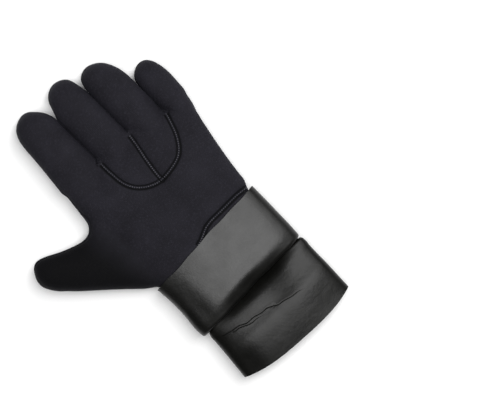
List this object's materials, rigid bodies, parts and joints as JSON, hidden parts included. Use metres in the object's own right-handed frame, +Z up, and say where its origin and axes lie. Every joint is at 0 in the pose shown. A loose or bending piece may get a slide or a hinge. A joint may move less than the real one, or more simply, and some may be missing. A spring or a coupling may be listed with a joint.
{
  "type": "diving glove",
  "caption": "Thick foam-rubber diving glove for the right hand, long cuff turned back over a smooth inner seal cuff, lying palm down.",
  "frame": {"origin": "on the floor under the middle of the whole glove", "axes": "+Y from the cuff towards the fingertips, +X towards the little finger, +Z up through the back of the hand"},
  "size_m": [0.2076, 0.307, 0.0339],
  "materials": {
    "jersey": "matte",
    "printed_jersey": "matte with raised rubber dots",
    "smooth_skin": "satin",
    "grip_print": "matte",
    "seam_thread": "matte"
  },
  "bodies": {
    "root": {"palm_panel": "printed_jersey", "back_panel": "jersey", "middle_finger_panel": "jersey", "ring_finger_panel": "jersey", "outer_cuff": "smooth_skin", "inner_cuff": "smooth_skin"}
  },
  "joints": []
}
